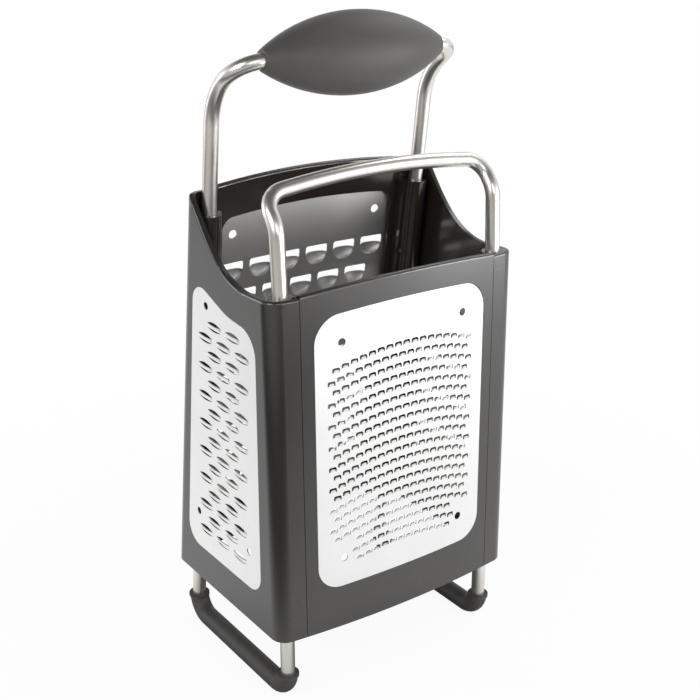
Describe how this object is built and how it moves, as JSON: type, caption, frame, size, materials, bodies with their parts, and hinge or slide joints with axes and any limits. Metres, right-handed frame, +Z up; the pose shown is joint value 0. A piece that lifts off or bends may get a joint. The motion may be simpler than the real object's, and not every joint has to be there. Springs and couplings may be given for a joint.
{
  "type": "box grater",
  "caption": "Box grater with a bowed black plastic body, steel blades on its sides, bent steel rods as legs, arch and handle, and a soft grip.",
  "frame": {"origin": "on the floor under the centre of the box, at the centre of the width and depth", "axes": "+Z up, +X to the right and +Y to the rear, seen from the side of the panel that lifts out"},
  "size_m": [0.1428, 0.1102, 0.3215],
  "materials": {
    "black_plastic": "semi-gloss",
    "blade_steel": "satin",
    "rod_steel": "polished",
    "pin_steel": "satin",
    "black_rubber": "matte",
    "soft_grip": "matte"
  },
  "bodies": {
    "grater": {"left_side_frame": "black_plastic", "right_side_frame": "black_plastic", "rear_panel": "black_plastic", "ribbon_blade": "blade_steel", "slicer_blade": "blade_steel", "coarse_blade": "blade_steel", "rear_handle_rod": "rod_steel", "front_arch_rod": "rod_steel", "left_foot_rod": "rod_steel", "right_foot_rod": "rod_steel", "left_foot_sleeve": "black_rubber", "right_foot_sleeve": "black_rubber", "grip_core": "black_plastic", "grip_cover": "soft_grip", "rod_pins": "pin_steel"},
    "front_insert": {"front_panel": "black_plastic", "fine_blade": "blade_steel"}
  },
  "joints": [
    {"name": "front_panel_slide", "type": "slide", "parent": "grater", "child": "front_insert", "axis": [0, 0.0173, 0.9999], "range_m": [0, 0.175]}
  ]
}
